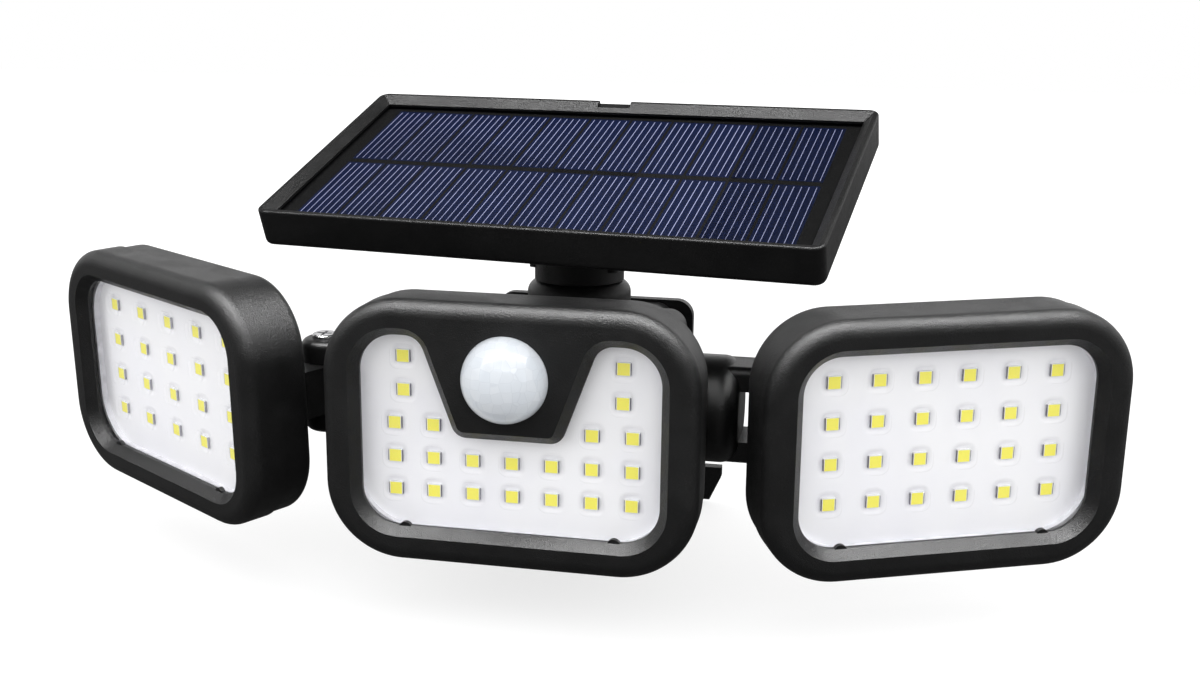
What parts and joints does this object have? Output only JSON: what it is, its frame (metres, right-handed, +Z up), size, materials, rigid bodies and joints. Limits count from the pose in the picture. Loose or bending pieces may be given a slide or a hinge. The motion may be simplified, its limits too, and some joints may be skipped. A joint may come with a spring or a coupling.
{
  "type": "motion sensor security light",
  "caption": "Wall light with swivelling lamp heads beside a fixed one with a domed motion sensor, under a turning and tilting solar panel.",
  "frame": {"origin": "middle of the wall bracket's rear face, on the wall", "axes": "+X to the right as the light is faced, +Y into the wall, +Z up"},
  "size_m": [0.3458, 0.1375, 0.1447],
  "materials": {
    "black_shell": "fine-grained satin",
    "clear_cover": "clear gloss",
    "dome_white": "milky gloss",
    "white_board": "matt white",
    "diode": "yellow phosphor",
    "green_board": "solder mask",
    "chip_black": "moulded",
    "seal_rubber": "moulded",
    "seal_light": "moulded",
    "bright_screw": "plated",
    "dark_screw": "blackened",
    "sensor_metal": "plated",
    "cell_wrap": "wrapped",
    "inner_plastic": "moulded",
    "key_rubber": "moulded",
    "panel_glass": "clear",
    "solar_blue": "dark blue",
    "sheet_black": "black"
  },
  "bodies": {
    "lamp_body": {"wall_bracket": "black_shell", "bracket_screws": "dark_screw", "battery_case": "black_shell", "case_lid": "black_shell", "lid_screws": "dark_screw", "swivel_seals": "seal_rubber", "cell_holder": "inner_plastic", "battery_cells": "cell_wrap", "cell_contacts": "sensor_metal", "control_board": "green_board", "board_chips": "chip_black", "board_screws": "dark_screw", "push_switch": "chip_black", "middle_bezel": "black_shell", "middle_lens": "clear_cover", "middle_gasket": "seal_light", "middle_led_board": "white_board", "middle_leds": "diode", "middle_bezel_screws": "dark_screw", "sensor_dome": "dome_white", "dome_ring": "inner_plastic", "sensor_can": "sensor_metal"},
    "mode_key": {"mode_key": "key_rubber"},
    "left_swivel": {"left_yoke": "black_shell", "left_hinge_screw": "bright_screw", "left_hinge_nut": "bright_screw", "left_swivel_washer": "sensor_metal", "left_swivel_screw": "dark_screw"},
    "left_lamp": {"left_bezel": "black_shell", "left_lens": "clear_cover", "left_gasket": "seal_light", "left_led_board": "white_board", "left_leds": "diode", "left_rear_cover": "black_shell", "left_cover_screws": "dark_screw"},
    "right_swivel": {"right_yoke": "black_shell", "right_hinge_screw": "bright_screw", "right_hinge_nut": "bright_screw", "right_swivel_washer": "sensor_metal", "right_swivel_screw": "dark_screw"},
    "right_lamp": {"right_bezel": "black_shell", "right_lens": "clear_cover", "right_gasket": "seal_light", "right_led_board": "white_board", "right_leds": "diode", "right_rear_cover": "black_shell", "right_cover_screws": "dark_screw"},
    "panel_swivel": {"panel_yoke": "black_shell", "panel_hinge_screw": "bright_screw", "panel_hinge_nut": "bright_screw", "panel_swivel_washer": "sensor_metal", "panel_swivel_screw": "dark_screw"},
    "solar_panel": {"panel_frame": "black_shell", "panel_glass": "panel_glass", "solar_cells": "solar_blue", "panel_back_sheet": "sheet_black", "panel_back_cover": "black_shell", "panel_screws": "dark_screw"}
  },
  "joints": [
    {"name": "left_tilt", "type": "hinge", "parent": "lamp_body", "child": "left_swivel", "pos_m": [-0.047, -0.0784, 0.0005], "axis": [1, 0, 0], "range_deg": [-14.7, 72.3]},
    {"name": "left_swing", "type": "hinge", "parent": "left_swivel", "child": "left_lamp", "pos_m": [-0.0725, -0.0784, 0.0005], "axis": [0, -0.0471, 0.9989], "range_deg": [-48.5, 31.5]},
    {"name": "right_tilt", "type": "hinge", "parent": "lamp_body", "child": "right_swivel", "pos_m": [0.047, -0.0784, 0.0005], "axis": [1, 0, 0], "range_deg": [-14.7, 72.3]},
    {"name": "right_swing", "type": "hinge", "parent": "right_swivel", "child": "right_lamp", "pos_m": [0.0725, -0.0784, 0.0005], "axis": [0, -0.0471, 0.9989], "range_deg": [-22.3, 57.7]},
    {"name": "panel_turn", "type": "hinge", "parent": "lamp_body", "child": "panel_swivel", "pos_m": [0.005, -0.052, 0.0335], "axis": [0, 0, 1], "range_deg": [-81.6, 98.4]},
    {"name": "panel_tilt", "type": "hinge", "parent": "panel_swivel", "child": "solar_panel", "pos_m": [0.005, -0.052, 0.0505], "axis": [0.9893, -0.1461, 0], "range_deg": [-46.8, 5.2]},
    {"name": "key_press", "type": "slide", "parent": "lamp_body", "child": "mode_key", "axis": [0, 0, 1], "range_m": [0, 0.0012], "stiffness_N_per_m": 600, "springref_m": -0.0008}
  ]
}
